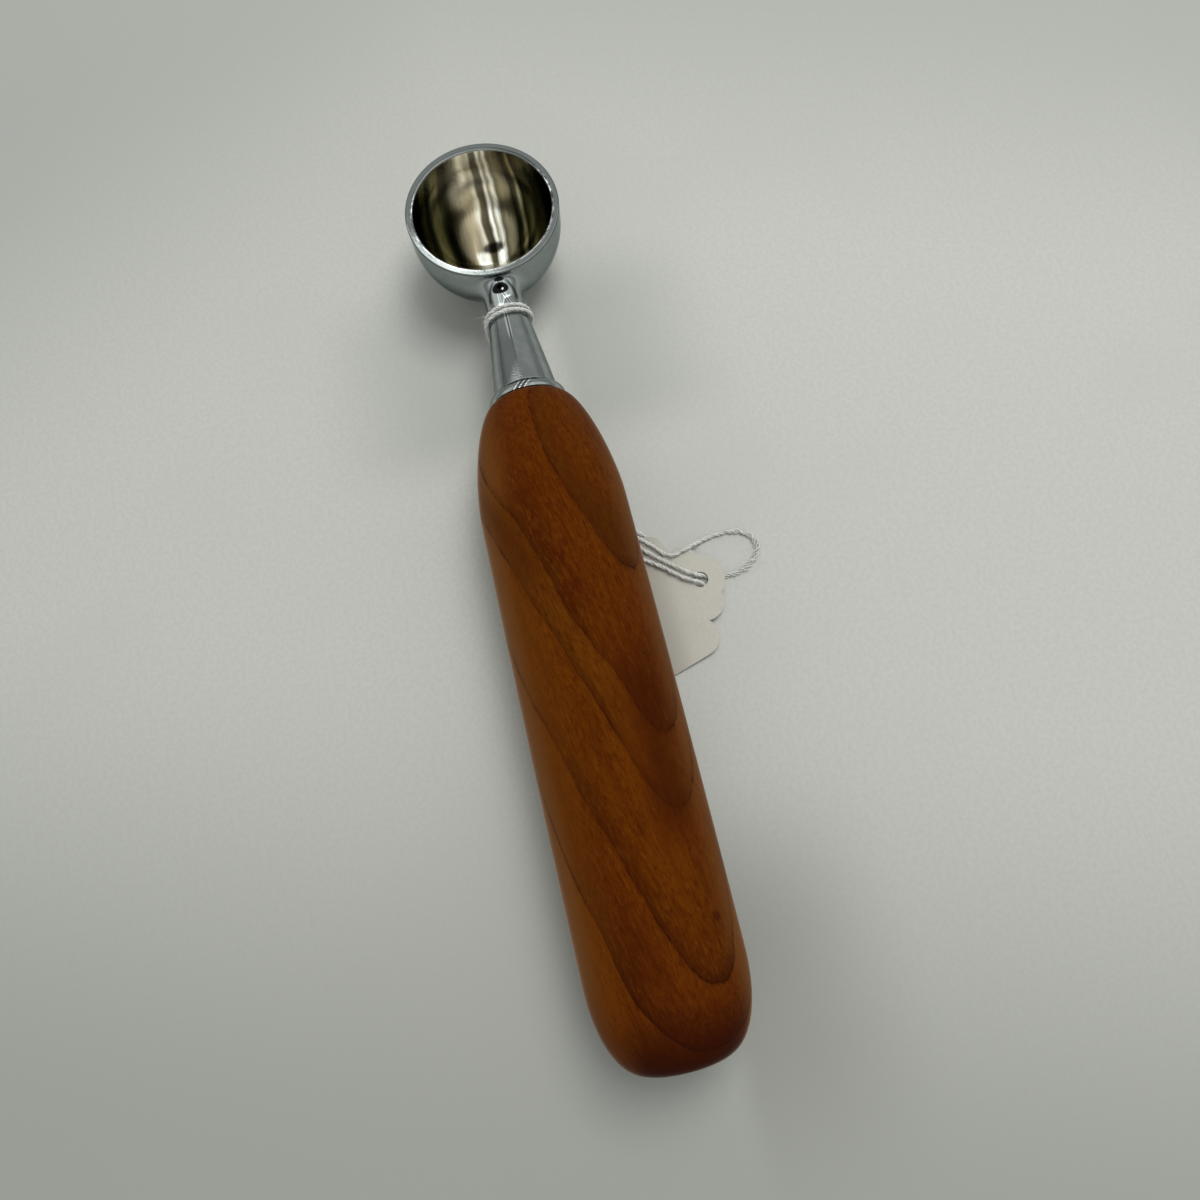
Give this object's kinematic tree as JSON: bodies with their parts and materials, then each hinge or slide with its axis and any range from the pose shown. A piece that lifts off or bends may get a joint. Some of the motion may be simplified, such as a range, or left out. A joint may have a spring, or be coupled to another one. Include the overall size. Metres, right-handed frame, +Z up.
{
  "type": "coffee scoop",
  "caption": "Coffee scoop with a deep round plated bowl on a tapered neck, a half-round collar ring and a turned wooden handle, with a string tied round the neck that holds a blank card tag.",
  "frame": {"origin": "on the table under the middle of the scoop's length, at the bottom centre of the box round the scoop without its string and tag", "axes": "+X along the handle towards the bowl, +Z up out of the bowl's open side, +Y to the left when looking along +X"},
  "size_m": [0.2245, 0.0683, 0.0356],
  "materials": {
    "cherry_wood": "satin oil over turned cherry",
    "chrome": "bright plating, polished",
    "brass": "machined",
    "steel": "plain machined",
    "cotton_string": "two-ply twisted cotton",
    "white_card": "uncoated white card"
  },
  "bodies": {
    "handle": {"handle": "cherry_wood", "threaded_insert": "brass"},
    "collar": {"collar_ring": "chrome", "string_turns": "cotton_string", "string_lead": "cotton_string", "string_knot": "cotton_string", "swing_tag": "white_card"},
    "head": {"scoop_head": "chrome", "threaded_stud": "steel"}
  },
  "joints": [
    {"name": "collar_slide", "type": "slide", "parent": "handle", "child": "collar", "axis": [1, 0, 0], "range_m": [0, 0.0095]},
    {"name": "head_turn", "type": "hinge", "parent": "collar", "child": "head", "pos_m": [0.03968, 0, 0.0178], "axis": [1, 0, 0], "range_deg": [0, 2737]}
  ],
  "couplings": [
    {"joint": "head_turn", "follows": "collar_slide", "rad_per_m": 5026.5}
  ]
}
